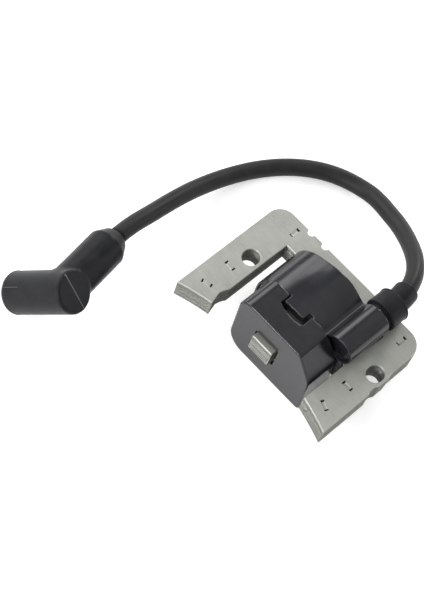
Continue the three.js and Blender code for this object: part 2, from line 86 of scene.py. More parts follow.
# The right side stands proud in front of a short ramp.
PROUD = {"foot": 10.0, "top": 7.0, "height": 0.6}
FLANK_NOTCH = {"rear": 1.8, "rear_floor": 0.0, "front_floor": -2.6, "front": -4.2, "depth": 0.8}
EDGE_NOTCHES = {"xs": (-24.0, -16.0), "radius": 1.75}
BOLT_SLOTS = ((-31.1, 1.6), (36.6, 4.6))
BOLT_SLOT = {"width": 7.2, "length": 7.9}

# Interlocks pressed into the top sheets: middle (x, y) and the direction they lie in, in degrees.
INTERLOCKS = (
    (-33.8, -20.5, 17), (-33.7, -7.8, 0), (-28.2, 23.7, 90),
    (33.35, -21.0, -22), (33.25, -7.9, 0), (33.25, 23.3, 90),
)
INTERLOCK = {"length": 4.7, "width": 1.65, "slit": 0.66, "sheets": 5, "edge_share": 0.1}
# The tab's depth below the top sheet, the share of it at the middle, and the depth along its sides.
TAB_DIP = {"depth": 0.36, "middle": 0.75, "sides": 0.01, "thickness": 0.15}

BARREL = {"x": -0.9, "z": 16.5, "half_width": 20.6, "half_height": 16.5, "corner": 15.0}
# The barrel's top is crowned. The crown is lower at the front, where it goes under the cover.
CROWN = {
    "x": 1.5, "left": 12.5, "right": 12.0, "height": 2.3,
    "front_share": 0.4, "front": -2.0, "full": 16.0, "fade": 8,
}
WALL = 1.8
CORE_CLEARANCE = 0.3  # between the core and the plastic round it
BARREL_FRONT = -4.0
BARREL_INNER_REAR = 15.2
REBATE = {"wall": 0.9, "rear": -1.7}  # the barrel's mouth is thinner where the resin fills it
TAB = {"left": -5.9, "right": 4.3, "front": -7.7}
TOWER = {"x": 21.4, "z": 29.1, "radius": 6.8, "bore": 4.2, "bore_end": 5.0, "fillet": 2.6}
PAD = {
    "left": 18.0, "right_front": 26.4, "right_rear": 27.7, "corner": 1.4,
    "front": -3.6, "bottom": 21.7, "top": 22.7, "edge": 0.25,
}
EAR = {"right": 25.7, "rear": -1.9, "bottom": 10.8, "edge": 0.2}
DISH = {"radius": 5.9, "depth": 1.4}
SHELL_EDGE = {
    "front": 0.42, "rear": 0.7, "tab": 0.3, "tab_top": 0.4, "foot": 0.3,
    "mouth": 0.15, "core": 0.2, "bore": 0.2, "dish": 0.3,
}

# Flat faces of the cover: a point on each, and the direction that it faces.
COVER_FLATS = {
    "left": ((-17.4, 0, 27.5), (-19.3, 0, -0.5)),
    "right": ((24.1, 0, 2.0), (20.3, 0, 0.9)),
    "shoulder": ((15.0, 0, COVER_HIGH[2]), (11.4, 0, 8.2)),
    "rear_corner": ((12.1, COVER_HIGH[1], COVER_HIGH[2]), (6.3, 10.28, 9.72)),
}
COVER_BEND = {
    "top_left": 6.2, "bottom_left": 8.2, "shoulder": 0.9,
    "bottom_right": 2.0, "bottom_right_inside": 0.2,
}
COVER_EDGE = {"front": 0.8, "rim": 0.5, "inside": 0.15, "window": 0.12}
WINDOW = {"left": -6.1, "right": 6.0, "bottom": 11.35, "top": 22.7}
RIM_NOTCH = {
    "left": -6.4, "right": 6.0, "bottom": 29.0,
    "arc_x": 0.8, "arc_y": 6.1, "arc_radius": 17.0,
}
RESIN = {"front": -3.4, "rear": -1.8, "top": 33.0, "inset": 1.15, "edge": 0.3, "leg_edge": 0.15}

COLLAR = {
    "radius": 7.4, "taper": 0.018, "neck": 5.7, "front": 18.5, "step": 20.0, "rear": 28.5,
    "well": 4.1, "well_depth": 1.3, "step_edge": 0.5, "rear_edge": 0.8, "neck_fillet": 0.05,
}
COLLAR_BEAD = {"in": 0.3, "ahead": 0.4, "radius": 0.42, "fillet": 0.12}
SLEEVE = {
    "radius": 5.2, "length": 8.6, "sunk": 1.2, "edge": 0.7, "fillet": 0.8,
    "lip_gap": 0.1, "lip_depth": 1.2, "lip_edge": 0.25, "points_past": 4,
}

LEAD_RADIUS = 3.7
LEAD_SIDES = 28
LEAD_STEP = 1.2  # between the points of its centreline
LEAD_SAMPLES = 2000
# Control points of the lead's centreline, from the collar to the boot.
LEAD_ROUTE = (
    (21.4, 28.5, 29.1),
    (21.4, 46, 29.1),
    (-0.4, 65.4, 13.6),
    (-12.6, 68.3, 10.3),
    (-21.8, 71.2, 7.7),
    (-30.4, 71.1, 5.2),
    (-39.2, 68.9, 4),
    (-47.8, 63.8, 3.8),
    (-56, 55.7, 3.8),
    (-62.4, 46.2, 3.9),
    (-67.2, 35.4, 4.7),
    (-70.4, 23.4, 6.4),
    (-72.3, 10.5, 9.1),
    (-72.7, -2.7, 12.4),
    (-72.3, -15.2, 15.7),
    (-72.5, -25.8, 18.7),
    (-71.5, -34, 20),
)

BOOT = {
    "corner": (-64.96, -69.84, 24.86),
    "heading": math.radians(198.7),
    "slope": math.radians(-47.1),
    "side_heading": math.radians(100.4),
    "radius": 8.7, "cap": 7.5, "cap_edge": 1.3, "mouth": 26.0, "bore": 6.0, "bore_end": 3.4,
    "side_radius": 8.15, "side_shoulder": 29.5, "side_end": 35.1, "side_tip_radius": 5.4,
    "side_bore": 4.1, "side_bore_from": 1.0, "side_wall": 1.0,
}
# The lead limb's flattened top: how far below the cap it starts, and its slope.
BOOT_FLAT = {"below_cap": 0.5, "slope": -0.09}
BOOT_LIP = {"gap": 0.12, "depth": 1.5}
BOOT_EDGE = {
    "mouth": 1.0, "side_start": 0.1, "side_shoulder": 0.25, "side_end": 0.5, "flat": 1.0,
    "elbow": 1.1, "socket": 0.6, "lip": 0.25,
}
# Raised lines that the mould left on the boot, and a bead round its mouth.
SEAM_SIDES = 8
CAP_SEAM = {"half": 8.3, "points": 40, "radius": 0.24}
FLASH_LINE = {"x": -0.64, "y": 0.77, "low": -24.0, "high": -16.0, "points": 10, "radius": 0.1}
MOUTH_BEAD = {"above_mouth": 1.2, "points": 61, "radius": 0.13}

NODE_BEVEL = {"width": 0.12, "segments": 2, "angle": math.radians(40)}

# Mesh cell sizes.
CELL = {"shell": 0.33, "cover": 0.27, "resin": 0.4, "collar": 0.35, "boot": 0.4}

# ---------------------------------------------------------------- camera


def make_camera():
    place = Vector((0.149685, -0.36735, 0.70025))
    target = Vector((-0.028458, -0.021394, 0.016))
    roll = math.radians(21.737)
    data = bpy.data.cameras.new("camera")
    data.lens = 120.0
    data.sensor_width = 36.0
    data.clip_start, data.clip_end = 0.05, 20.0
    camera = bpy.data.objects.new("camera", data)
    aim = (target - place).to_track_quat("-Z", "Y")
    camera.rotation_mode = "QUATERNION"
    camera.rotation_quaternion = aim @ Quaternion((0, 0, 1), roll)
    camera.location = place
    bpy.context.scene.collection.objects.link(camera)
    bpy.context.scene.camera = camera


make_camera()

# ---------------------------------------------------------------- materials


class Nodes:
    """A short way to write the node tree of a material or a world."""

    def __init__(self, owner):
        self.owner = owner
        owner.use_nodes = True
        self.tree = owner.node_tree

    def add(self, kind, **values):
        node = self.tree.nodes.new(kind)
        for key, value in values.items():
            setattr(node, key, value)
        return node

    def link(self, source, target):
        self.tree.links.new(source, target)

    def coordinates(self, stretch=(1, 1, 1)):
        """Object coordinates in millimetres, stretched along the axes."""
        place = self.add("ShaderNodeTexCoord")
        mapping = self.add("ShaderNodeMapping")
        mapping.inputs["Scale"].default_value = [s / MM for s in stretch]
        self.link(place.outputs["Object"], mapping.inputs["Vector"])
        return mapping.outputs["Vector"]

    def noise(self, vector, scale, detail=3.0, roughness=0.55):
        node = self.add("ShaderNodeTexNoise")
        node.inputs["Scale"].default_value = scale
        node.inputs["Detail"].default_value = detail
        node.inputs["Roughness"].default_value = roughness
        self.link(vector, node.inputs["Vector"])
        return node.outputs["Fac"]

    def spread(self, value, low, high, from_low=0.3, from_high=0.7, **more):
        """value brought from one range to another."""
        node = self.add("ShaderNodeMapRange", **more)
        node.inputs["From Min"].default_value = from_low
        node.inputs["From Max"].default_value = from_high
        node.inputs["To Min"].default_value = low
        node.inputs["To Max"].default_value = high
        self.link(value, node.inputs["Value"])
        return node.outputs["Result"]

    def combine(self, operation, a, b=0):
        """A maths operation on two values, each a number or a node's output."""
        node = self.add("ShaderNodeMath", operation=operation)
        for socket, value in zip(node.inputs, (a, b)):
            if isinstance(value, (int, float)):
                socket.default_value = value
            else:
                self.link(value, socket)
        return node.outputs["Value"]

    def weighted(self, *parts):
        """The sum of several values, each times its own weight."""
        scaled = [self.combine("MULTIPLY", value, weight) for value, weight in parts]
        total = scaled[0]
        for part in scaled[1:]:
            total = self.combine("ADD", total, part)
        return total

    def blend(self, factor, a, b):
        """A mix of two colours, each a tuple or a node's output."""
        node = self.add("ShaderNodeMix", data_type="RGBA")
        self.link(factor, node.inputs["Factor"])
        for name, colour in (("A", a), ("B", b)):
            if isinstance(colour, tuple):
                node.inputs[name].default_value = (*colour, 1)
            else:
                self.link(colour, node.inputs[name])
        return node.outputs["Result"]

    def bump(self, height, distance, strength, under=None):
        """A normal from a height. distance is in millimetres."""
        node = self.add("ShaderNodeBump")
        node.inputs["Distance"].default_value = distance * MM
        node.inputs["Strength"].default_value = strength
        self.link(height, node.inputs["Height"])
        if under is not None:
            self.link(under, node.inputs["Normal"])
        return node.outputs["Normal"]

    def finish(self, colour, roughness=None, normal=None, **plain):
        """The material, with these outputs and plain values on its shader."""
        shader = self.tree.nodes["Principled BSDF"]
        for socket, value in (("Base Color", colour), ("Roughness", roughness), ("Normal", normal)):
            if value is not None:
                self.link(value, shader.inputs[socket])
        for socket, value in plain.items():
            shader.inputs[socket.replace("_", " ")].default_value = value
        return self.owner


def material_nodes(name):
    return Nodes(bpy.data.materials.new(name))


def steel(name, dark, light, cut_and_shade, metallic):
    """Rolled electrical steel: faint streaks, a fine grain, cloudy stains, darker cut edges that
    are darkened further as painted shade on the side walls.
    """
    n = material_nodes(name)
    place = n.coordinates()
    grain = n.noise(place, scale=2.6, detail=4.0, roughness=0.7)
    streaks = n.noise(n.coordinates((0.06, 1.6, 1.6)), scale=1.4, detail=4.0, roughness=0.65)
    clouds = n.noise(place, scale=0.11, detail=3.0, roughness=0.6)
    tone = n.weighted((grain, 0.35), (streaks, 0.3), (clouds, 0.35))
    colour = n.blend(n.spread(tone, 0, 1, from_low=0.36, from_high=0.64), dark, light)
    facing = n.add("ShaderNodeSeparateXYZ")
    n.link(n.add("ShaderNodeNewGeometry").outputs["Normal"], facing.inputs["Vector"])
    level = n.combine("ABSOLUTE", facing.outputs["Z"])
    upright = n.spread(level, 1, 0, from_low=0.25, from_high=0.6)
    scores = n.noise(n.coordinates((3.0, 3.0, 0.6)), scale=3.0, detail=3.0, roughness=0.7)
    # Upright faces take the darker colour: the sheets' cut edges, darkened further as painted shade
    # on the side walls.
    sheared_and_shaded = n.combine("MULTIPLY", upright, n.spread(scores, 0.93, 1.0))
    colour = n.blend(sheared_and_shaded, colour, cut_and_shade)
    rough = n.spread(n.combine("ADD", grain, streaks), 0.38, 0.52, from_low=0.7, from_high=1.3)
    rough = n.weighted((rough, 1), (upright, 0.2))
    return n.finish(colour, rough, n.bump(grain, distance=0.018, strength=0.3), Metallic=metallic)


def moulded_plastic(name, dark, light, rough, bump=0.012, specular=0.5):
    """Semi-gloss injection-moulded plastic: a very fine texture, soft ripples and faint scuffs."""
    n = material_nodes(name)
    place = n.coordinates()
    fine = n.noise(place, scale=5.5, detail=3.0, roughness=0.6)
    ripple = n.noise(place, scale=0.16, detail=2.0, roughness=0.5)
    scuff = n.noise(place, scale=0.7, detail=5.0, roughness=0.7)
    colour = n.blend(n.spread(ripple, 0, 1), dark, light)
    rough = n.spread(n.combine("ADD", fine, scuff), *rough, from_low=0.75, from_high=1.3)
    normal = n.bump(fine, distance=bump, strength=0.5)
    normal = n.bump(ripple, distance=0.05, strength=0.3, under=normal)
    return n.finish(colour, rough, normal, Specular_IOR_Level=specular)


def rubber(name, dark, light, rough, grain=3.2, bump=0.03, specular=0.4):
    """Moulded or extruded rubber: matte, finely grained, a little dusty in patches."""
    n = material_nodes(name)
    place = n.coordinates()
    fine = n.noise(place, scale=grain, detail=4.0, roughness=0.65)
    patches = n.noise(place, scale=0.13, detail=4.0, roughness=0.6)
    dust = n.noise(place, scale=0.9, detail=5.0, roughness=0.7)
    dusty = n.spread(n.weighted((patches, 1), (dust, 0.5)), 0, 1, from_low=0.55, from_high=0.95)
    normal = n.bump(fine, distance=bump, strength=0.45)
    normal = n.bump(dust, distance=0.03, strength=0.25, under=normal)
    colour = n.blend(dusty, dark, light)
    return n.finish(colour, n.spread(patches, *rough), normal, Specular_IOR_Level=specular)


def wound_wire(name, dark, light):
    """Layers of varnished copper wire, seen as fine turns side by side along Y."""
    n = material_nodes(name)
    wave = n.add("ShaderNodeTexWave", bands_direction="Y", wave_profile="SIN")
    wave.inputs["Scale"].default_value = 1.6
    wave.inputs["Distortion"].default_value = 0.6
    n.link(n.coordinates(), wave.inputs["Vector"])
    turns = wave.outputs["Fac"]
    rough = n.spread(n.noise(n.coordinates(), scale=1.5), 0.25, 0.4)
    normal = n.bump(turns, distance=0.12, strength=0.8)
    return n.finish(n.blend(turns, dark, light), rough, normal, Metallic=0.85)


def brass(name, dark, light):
    """Bare brass, tarnished in patches."""
    n = material_nodes(name)
    place = n.coordinates()
    grain = n.noise(place, scale=3.0, detail=4.0, roughness=0.6)
    colour = n.blend(n.spread(n.noise(place, scale=0.5), 0, 1), dark, light)
    normal = n.bump(grain, distance=0.01, strength=0.4)
    return n.finish(colour, n.spread(grain, 0.22, 0.38), normal, Metallic=1.0)


def solder_mask(name, dark, light):
    """A circuit board's solder mask, with copper tracks showing through it."""
    n = material_nodes(name)
    tracks = n.add("ShaderNodeTexVoronoi", feature="DISTANCE_TO_EDGE")
    tracks.inputs["Scale"].default_value = 0.45
    n.link(n.coordinates(), tracks.inputs["Vector"])
    edge = n.spread(tracks.outputs["Distance"], 1, 0, from_low=0.04, from_high=0.12)
    rough = n.spread(n.noise(n.coordinates(), scale=4.0), 0.3, 0.45)
    return n.finish(n.blend(edge, dark, light), rough, n.bump(edge, distance=0.03, strength=0.6))


MATERIALS = {
    "core": steel(
        "core_steel", dark=(0.272, 0.281, 0.254), light=(0.375, 0.385, 0.35),
        # The darker colour of upright faces: cut edges, darkened further as painted shade on the
        # side walls.
        cut_and_shade=(0.054, 0.052, 0.046), metallic=0.6,
    ),
    "casing": moulded_plastic(
        "casing_plastic", dark=(0.007, 0.0075, 0.0095), light=(0.0125, 0.013, 0.0155),
        rough=(0.15, 0.25), bump=0.006, specular=0.43,
    ),
    "resin": moulded_plastic(
        "casting_resin", dark=(0.05, 0.05, 0.052), light=(0.085, 0.085, 0.088),
        rough=(0.38, 0.55), bump=0.03,
    ),
    "lead_rubber": rubber(
        "lead_rubber", dark=(0.009, 0.009, 0.0092), light=(0.015, 0.015, 0.0154),
        rough=(0.42, 0.55), grain=4.0, bump=0.02, specular=0.18,
    ),
    "boot_rubber": rubber(
        "boot_rubber", dark=(0.0075, 0.008, 0.0093), light=(0.0135, 0.014, 0.0162),
        rough=(0.34, 0.46), specular=0.1,
    ),
    # A paler rubber for the raised lines on the boot.
    "pale_seam_rubber": rubber(
        "pale_seam_rubber", dark=(0.05, 0.05, 0.052), light=(0.11, 0.11, 0.113),
        rough=(0.4, 0.6), grain=5.0,
    ),
    "bobbin": moulded_plastic(
        "bobbin_nylon", dark=(0.6, 0.55, 0.44), light=(0.74, 0.7, 0.6), rough=(0.4, 0.55),
    ),
    "winding": wound_wire("winding_copper", dark=(0.05, 0.018, 0.008), light=(0.24, 0.09, 0.035)),
    "terminal": brass("terminal_brass", dark=(0.42, 0.28, 0.1), light=(0.78, 0.58, 0.26)),
    "board": solder_mask("board_mask", dark=(0.02, 0.11, 0.045), light=(0.09, 0.26, 0.1)),
    "component": moulded_plastic(
        "component_dip", dark=(0.2, 0.08, 0.03), light=(0.34, 0.15, 0.06), rough=(0.3, 0.45),
    ),
}

# ---------------------------------------------------------------- meshes


def add_piece(name, vertices, faces, slot, body=MODULE, replaces=(), smooth=True, normals=None,
              finish=None):
    """A mesh object from points in millimetres. It rides on a body and stands for CAD nodes.

    It has the material that its slot names, or that finish names.
    """
    mesh = bpy.data.meshes.new(name)
    points = [tuple(float(c) * MM for c in v) for v in vertices]
    mesh.from_pydata(points, [], [tuple(int(i) for i in f) for f in faces])
    mesh.materials.append(MATERIALS[finish or slot])
    mesh.polygons.foreach_set("use_smooth", [smooth] * len(mesh.polygons))
    mesh.validate()
    if normals is not None:
        mesh.normals_split_custom_set_from_vertices([tuple(n) for n in normals])
    piece = bpy.data.objects.new(name, mesh)
    bpy.context.scene.collection.objects.link(piece)
    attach(piece, body)
    if replaces:
        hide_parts(*replaces)
    return piece

# ---------------------------------------------------------------- solids from distance fields


def union(a, b, radius):
    """Both solids, with a fillet where they meet."""
    rounded = np.hypot(np.maximum(radius - a, 0), np.maximum(radius - b, 0))
    return np.maximum(radius, np.minimum(a, b)) - rounded


def common(a, b, radius):
    """What two solids share, with the edge where they meet rounded."""
    rounded = np.hypot(np.maximum(radius + a, 0), np.maximum(radius + b, 0))
    return np.minimum(-radius, np.maximum(a, b)) + rounded


def without(a, b, radius):
    """The first solid less the second, with a rounded edge."""
    return common(a, -b, radius)


def slab(value, low, high):
    """Distance outside the range from low to high."""
    return np.maximum(low - value, value - high)


def mesh_of_field(field, low, high, step):
    """Points and quads on the surface where field is zero, one point in each cell on it."""
    before, after = 1.5 * step, 2.5 * step  # margins round the box
    axes = [np.arange(a - before, b + after, step) for a, b in zip(low, high)]
    values = field(*np.meshgrid(*axes, indexing="ij"))
    inside = values < 0
    cells = tuple(n - 1 for n in values.shape)
    total = np.zeros((*cells, 3))
    count = np.zeros(cells)
    corners = [(i, j, k) for i in (0, 1) for j in (0, 1) for k in (0, 1)]
    for a in corners:
        for axis in range(3):
            if a[axis]:
                continue
            b = tuple(c + (n == axis) for n, c in enumerate(a))
            va, vb = (values[tuple(slice(c, c + n) for c, n in zip(p, cells))] for p in (a, b))
            crossed = (va < 0) != (vb < 0)
            share = np.where(crossed, va / np.where(crossed, va - vb, 1), 0)
            for n in range(3):
                total[..., n] += np.where(crossed, a[n] + (share if n == axis else 0), 0)
            count += crossed
    used = count > 0
    number = np.full(cells, -1)
    number[used] = np.arange(used.sum())
    where = np.argwhere(used) + total[used] / count[used][:, None]
    points = np.array([a[0] for a in axes]) + where * step
    quads = []
    for axis in range(3):
        ahead = np.roll(inside, -1, axis)
        edge = inside != ahead
        edge = edge[tuple(slice(0, -1) if n == axis else slice(1, -1) for n in range(3))]
        at = np.argwhere(edge) + np.array([0 if n == axis else 1 for n in range(3)])
        u, v = [n for n in range(3) if n != axis]
        ring = []
        for du, dv in ((-1, -1), (0, -1), (0, 0), (-1, 0)):
            cell = at.copy()
            cell[:, u] += du
            cell[:, v] += dv
            ring.append(number[tuple(cell.T)])
        ring = np.stack(ring, 1)
        flip = inside[tuple(at.T)] == (axis == 1)
        ring[flip] = ring[flip][:, ::-1]
        quads.append(ring)
    return settle(field, points, step), np.concatenate(quads)


def slope_of(field, points, reach=0.01):
    """The field's slope along X, Y and Z at each point."""
    x, y, z = points.T
    slope = [
        field(x + reach, y, z) - field(x - reach, y, z),
        field(x, y + reach, z) - field(x, y - reach, z),
        field(x, y, z + reach) - field(x, y, z - reach),
    ]
    return np.stack(slope, 1) / (2 * reach)


def settle(field, points, step, rounds=4, flattest=0.2):
    """The points moved onto the surface along the field's slope. flattest is its least square."""
    for _ in range(rounds):
        slope = slope_of(field, points)
        size = np.maximum((slope ** 2).sum(1), flattest)
        move = -(field(*points.T) / size)[:, None] * slope
        points = points + np.clip(move, -step / 2, step / 2)
    return points


def add_field(name, field, low, high, step, slot, place=None, **more):
    """A piece bounded by a distance field, which is drawn in its own axes where place says."""
    points, quads = mesh_of_field(field, low, high, step)
    normals = slope_of(field, points)
    normals /= np.maximum(np.linalg.norm(normals, axis=1), 1e-9)[:, None]
    if place is not None:
        turn = np.array(place.to_3x3())
        points = points @ turn.T + np.array(place.translation)
        normals = normals @ turn.T
    return add_piece(name, points, quads, slot, normals=normals, **more)


# ---------------------------------------------------------------- laminated core


def arc(x, y, radius, start, end, steps):
    """Points on an arc, angles in degrees."""
    angles = np.radians(np.linspace(start, end, steps + 1))
    return [(x + radius * math.cos(a), y + radius * math.sin(a)) for a in angles]


def bend(start, middle, end, steps=5):
    """Points on the quadratic curve from start to end that sets out toward middle."""
    points = []
    for t in np.linspace(0, 1, steps + 1):
        first, second, third = (1 - t) ** 2, 2 * t * (1 - t), t ** 2
        points.append(tuple(
            first * a + second * b + third * c for a, b, c in zip(start, middle, end)
        ))
    return points


def pole_face(start, end, steps=6):
    """The concave end of an arm, along the flywheel's circle."""
    middle, radius = FLYWHEEL["y"], FLYWHEEL["radius"]
    xs = np.linspace(start, end, steps + 1)
    return [(x, middle + math.sqrt(radius ** 2 - x ** 2)) for x in xs]


def core_outline():
    """Outline of one sheet, anticlockwise."""
    left, right = REAR_CORNERS["left"], REAR_CORNERS["right"]
    slim = HALF_WIDTH - PROUD["height"]
    notch = HALF_WIDTH - FLANK_NOTCH["depth"]
    floor = -ARM_INNER - SCALLOP["depth"]
    outline = [(LEG["left"], SLOT_REAR), (LEG["left"], LEG["tip"]), (LEG["right"], LEG["tip"])]
    outline += [(LEG["right"], SLOT_REAR), (ARM_INNER, SLOT_REAR)]
    outline += pole_face(ARM_INNER, HALF_WIDTH)
    outline += [(HALF_WIDTH, FLANK_NOTCH["front"]), (notch, FLANK_NOTCH["front_floor"])]
    outline += [(notch, FLANK_NOTCH["rear_floor"]), (HALF_WIDTH, FLANK_NOTCH["rear"])]
    outline += [(HALF_WIDTH, PROUD["top"]), (slim, PROUD["foot"])]
    outline += arc(slim - right, YOKE_REAR - right, right, 0, 90, steps=14)
    for x in reversed(EDGE_NOTCHES["xs"]):
        outline += arc(x, YOKE_REAR, EDGE_NOTCHES["radius"], 0, -180, steps=12)
    outline += arc(-HALF_WIDTH + left, YOKE_REAR - left, left, 90, 180, steps=14)
    outline += pole_face(-HALF_WIDTH, -ARM_INNER)
    outline += bend((floor, SCALLOP["front"]), (floor + SCALLOP["bend_in"], SCALLOP["bend"]),
                    (-ARM_INNER, SCALLOP["rear"]))
    return outline + [(-ARM_INNER, SLOT_REAR)]


def bolt_slot(x, y):
    """Outline of a bolt slot, clockwise."""
    radius = BOLT_SLOT["width"] / 2
    straight = (BOLT_SLOT["length"] - BOLT_SLOT["width"]) / 2
    rear = arc(x, y + straight, radius, 180, 0, steps=16)
    return rear + arc(x, y - straight, radius, 0, -180, steps=16)


def turned(x, y, angle, corners):
    """Corners turned by an angle in degrees and moved to x, y."""
    c, s = math.cos(math.radians(angle)), math.sin(math.radians(angle))
    return [(x + u * c - v * s, y + u * s + v * c) for u, v in corners]


def interlock_pocket(x, y, angle):
    """Outline of the hole that an interlock's tab is pressed down in, clockwise."""
    half, wide = INTERLOCK["length"] / 2, INTERLOCK["width"] / 2
    return turned(x, y, angle, [(-half, -wide), (-half, wide), (half, wide), (half, -wide)])


def drawn_in(loop, distance, sharpest=0.3):
    """A loop moved into the material on its left. sharpest limits how far a sharp corner moves."""
    points = np.array(loop)
    along = np.roll(points, -1, 0) - points
    along /= np.linalg.norm(along, axis=1)[:, None]
    side = np.stack([-along[:, 1], along[:, 0]], 1)
    before = np.roll(side, 1, 0)
    mitre = side + before
    mitre /= np.maximum((mitre * side).sum(1), sharpest)[:, None]
    return points + mitre * distance


def sheet_mesh(loops, edges, low, high, edge):
    """A flat sheet with holes, from low to high. Each loop has its own share of the bevel, edge."""
    vertices, faces = [], []
    levels = ((low, edge), (low + edge, 0.0), (high - edge, 0.0), (high, edge))
    starts = []
    for z, inset in levels:
        starts.append(len(vertices))
        for loop, share in zip(loops, edges):
            vertices += [(x, y, z) for x, y in drawn_in(loop, inset * share)]
    offsets = [sum(len(loop) for loop in loops[:i]) for i in range(len(loops))]
    for lower, upper in zip(starts, starts[1:]):
        for loop, offset in zip(loops, offsets):
            n = len(loop)
            for i in range(n):
                a, b = offset + i, offset + (i + 1) % n
                faces.append((lower + a, lower + b, upper + b, upper + a))
    bottom, top = starts[0], starts[-1]
    corners = [Vector(v) for v in vertices[top:]]
    rings = [corners[offset:offset + len(loop)] for loop, offset in zip(loops, offsets)]
    for a, b, c in tessellate_polygon(rings):
        if (corners[b] - corners[a]).cross(corners[c] - corners[a]).z < 0:
            b, c = c, b
        faces.append((top + a, top + b, top + c))
        faces.append((bottom + a, bottom + c, bottom + b))
    return vertices, faces


def build_core():
    """The stack of sheets. All but the top and bottom one sit a little out of line."""
    thick = (CORE_HIGH[2] - CORE_LOW[2]) / SHEETS
    outline = core_outline()
    slots = [bolt_slot(x, y) for x, y in BOLT_SLOTS]
    pockets = [interlock_pocket(*mark) for mark in INTERLOCKS]
    for i in range(SHEETS):
        top = i == SHEETS - 1
        shift = np.zeros(2) if top or i == 0 else RNG.uniform(-SHEET_SHIFT, SHEET_SHIFT, 2)
        loops = [[(x + shift[0], y + shift[1]) for x, y in loop] for loop in [outline, *slots]]
        edges = [1] * len(loops)
        if i >= SHEETS - INTERLOCK["sheets"]:
            loops += pockets
            edges += [INTERLOCK["edge_share"]] * len(pockets)
        low = CORE_LOW[2] + i * thick
        high = low + thick - (0 if top else SHEET_GAP)
        vertices, faces = sheet_mesh(loops, edges, low, high, TOP_EDGE if top else SHEET_EDGE)
        stands_for = [f"lamination_{i // 2 + 1}"]
        add_piece(f"sheet_{i + 1}", vertices, faces, "core", replaces=stands_for, smooth=False)


def build_interlocks():
    """The pressed tabs: dished strips, flush along their sides and sheared at their ends."""
    across, along = 8, 14
    half = INTERLOCK["length"] / 2 - INTERLOCK["slit"]
    wide = INTERLOCK["width"] / 2
    depth, middle, sides = TAB_DIP["depth"], TAB_DIP["middle"], TAB_DIP["sides"]
    for i, (x, y, angle) in enumerate(INTERLOCKS):
        vertices, faces = [], []
        for u in np.linspace(-1, 1, along + 1):
            for v in np.linspace(-1, 1, across + 1):
                dip = depth * (1 - v ** 4) * (middle + (1 - middle) * u ** 2) + sides
                (px, py), = turned(x, y, angle, [(u * half, v * wide)])
                vertices.append((px, py, CORE_HIGH[2] - dip))
        row = across + 1
        for a in range(along):
            for b in range(across):
                k = a * row + b
                faces.append((k, k + row, k + row + 1, k + 1))
        piece = add_piece(f"interlock_{i + 1}", vertices, faces, "core")
        thick = piece.modifiers.new("thickness", "SOLIDIFY")
        thick.thickness = TAB_DIP["thickness"] * MM
        thick.offset = -1


build_core()
build_interlocks()

# ---------------------------------------------------------------- plastic body


def barrel_section(x, z):
    """Distance to the barrel's rounded section."""
    corner = BARREL["corner"]
    across = np.abs(x - BARREL["x"]) - (BARREL["half_width"] - corner)
    upright = np.abs(z - BARREL["z"]) - (BARREL["half_height"] - corner)
    outside = np.hypot(np.maximum(across, 0), np.maximum(upright, 0))
    return outside + np.minimum(np.maximum(across, upright), 0) - corner


def crowned_barrel(x, y, z):
    """Distance to the barrel's outer surface, with its crown."""
    reach = np.where(x < CROWN["x"], CROWN["left"], CROWN["right"])
    bump = np.clip(1 - ((x - CROWN["x"]) / reach) ** 2, 0, 1) ** 2
    run = np.clip((y - CROWN["front"]) / (CROWN["full"] - CROWN["front"]), 0, 1)
    share = CROWN["front_share"] + (1 - CROWN["front_share"]) * run * run * (3 - 2 * run)
    upper = np.clip((z - BARREL["z"]) / CROWN["fade"], 0, 1)
    return barrel_section(x, z - CROWN["height"] * bump * share * upper)


def from_tower_axis(x, z):
    return np.hypot(x - TOWER["x"], z - TOWER["z"])


def plane(x, y, z, point, normal):
    """Distance in front of a plane."""
    size = math.sqrt(sum(c * c for c in normal))
    along = (x - point[0]) * normal[0] + (y - point[1]) * normal[1] + (z - point[2]) * normal[2]
    return along / size


def core_layer(z):
    """Distance to the layer that the core lies in, with its clearance."""
    return slab(z, CORE_LOW[2] - CORE_CLEARANCE, CORE_HIGH[2] + CORE_CLEARANCE)


def leg_passage(x, z):
    """Distance to the passage for the core's centre leg, with its clearance."""
    across = slab(x, LEG["left"] - CORE_CLEARANCE, LEG["right"] + CORE_CLEARANCE)
    return np.maximum(across, core_layer(z))


def foot_field(x, y, z):
    """The tower's foot: a thin pad over the right arm, and an ear that closes the slot's front."""
    front, rear, right = PAD["front"], SHELL_HIGH[1], PAD["right_front"]
    flank = plane(x, y, z, (right, front, 0), (rear - front, right - PAD["right_rear"], 0))
    corner = plane(x, y, z, (right - PAD["corner"], front, 0), (1, -1, 0))
    outline = np.maximum(flank, corner)
    outline = np.maximum(outline, np.maximum(slab(y, front, rear), PAD["left"] - x))
    pad = common(outline, slab(z, PAD["bottom"], PAD["top"]), PAD["edge"])
    ear = np.maximum(slab(x, PAD["left"], EAR["right"]), slab(y, BARREL_FRONT, EAR["rear"]))
    return np.minimum(pad, common(ear, slab(z, EAR["bottom"], PAD["top"]), EAR["edge"]))


